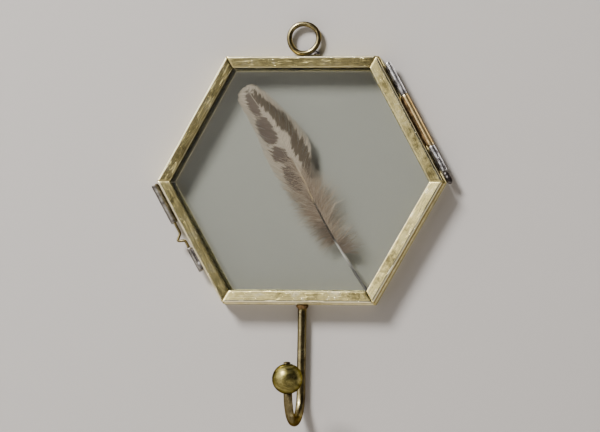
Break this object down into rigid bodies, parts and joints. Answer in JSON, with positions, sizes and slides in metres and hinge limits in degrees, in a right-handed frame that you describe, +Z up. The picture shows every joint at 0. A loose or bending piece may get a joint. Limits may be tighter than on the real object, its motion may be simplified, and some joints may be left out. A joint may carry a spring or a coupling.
{
  "type": "hinged keepsake frame with hook",
  "caption": "Hexagonal brass and glass keepsake frame with a feather between its hinged panes, a hanging ring on top and a ball-ended hook below.",
  "frame": {"origin": "where the nail bears on the inside of the hanging ring's top, in the plane of the ring's wire", "axes": "+Z up, +Y out of the back into the wall, front towards -Y"},
  "size_m": [0.13, 0.035, 0.1738],
  "materials": {
    "brass": "antiqued, satin",
    "dark_brass": "aged dark, satin",
    "warm_brass": "drawn tube, satin",
    "tinned": "tinned with solder, satin",
    "solder": "dull soft solder",
    "ball_brass": "aged, satin",
    "glass": "clear",
    "quill": "keratin shaft",
    "vane": "barred feather vane",
    "down": "loose down"
  },
  "bodies": {
    "back_frame": {"back_rail_upper_right": "brass", "back_rail_top": "brass", "back_rail_upper_left": "brass", "back_rail_lower_left": "brass", "back_rail_bottom": "brass", "back_rail_lower_right": "brass", "back_glass": "glass", "hanging_ring": "dark_brass", "ring_solder": "solder", "hook_wire": "dark_brass", "hook_ball": "ball_brass", "hook_solder": "solder", "hinge_knuckle_upper": "tinned", "hinge_knuckle_lower": "tinned", "hinge_solder_upper": "solder", "hinge_solder_lower": "solder", "hinge_pin": "dark_brass", "hinge_solder_drip": "solder", "latch_guide": "tinned", "latch_guide_solder": "solder", "feather_quill": "quill", "feather_vane_left": "vane", "feather_vane_right": "vane", "feather_down_left": "down", "feather_down_right": "down"},
    "door": {"door_rail_upper_right": "brass", "door_rail_top": "brass", "door_rail_upper_left": "brass", "door_rail_lower_left": "brass", "door_rail_bottom": "brass", "door_rail_lower_right": "brass", "door_glass": "glass", "hinge_knuckle_middle": "warm_brass", "hinge_solder_middle": "solder", "latch_keeper": "tinned", "latch_keeper_solder": "solder"},
    "latch_pin": {"latch_bolt": "dark_brass"}
  },
  "joints": [
    {"name": "door_hinge", "type": "hinge", "parent": "back_frame", "child": "door", "pos_m": [0.04996, -0.00235, -0.04071], "axis": [-0.4777, 0, 0.8785], "range_deg": [0, 180]},
    {"name": "latch_slide", "type": "slide", "parent": "back_frame", "child": "latch_pin", "axis": [0.4918, 0, -0.8707], "range_m": [0, 0.003]}
  ]
}
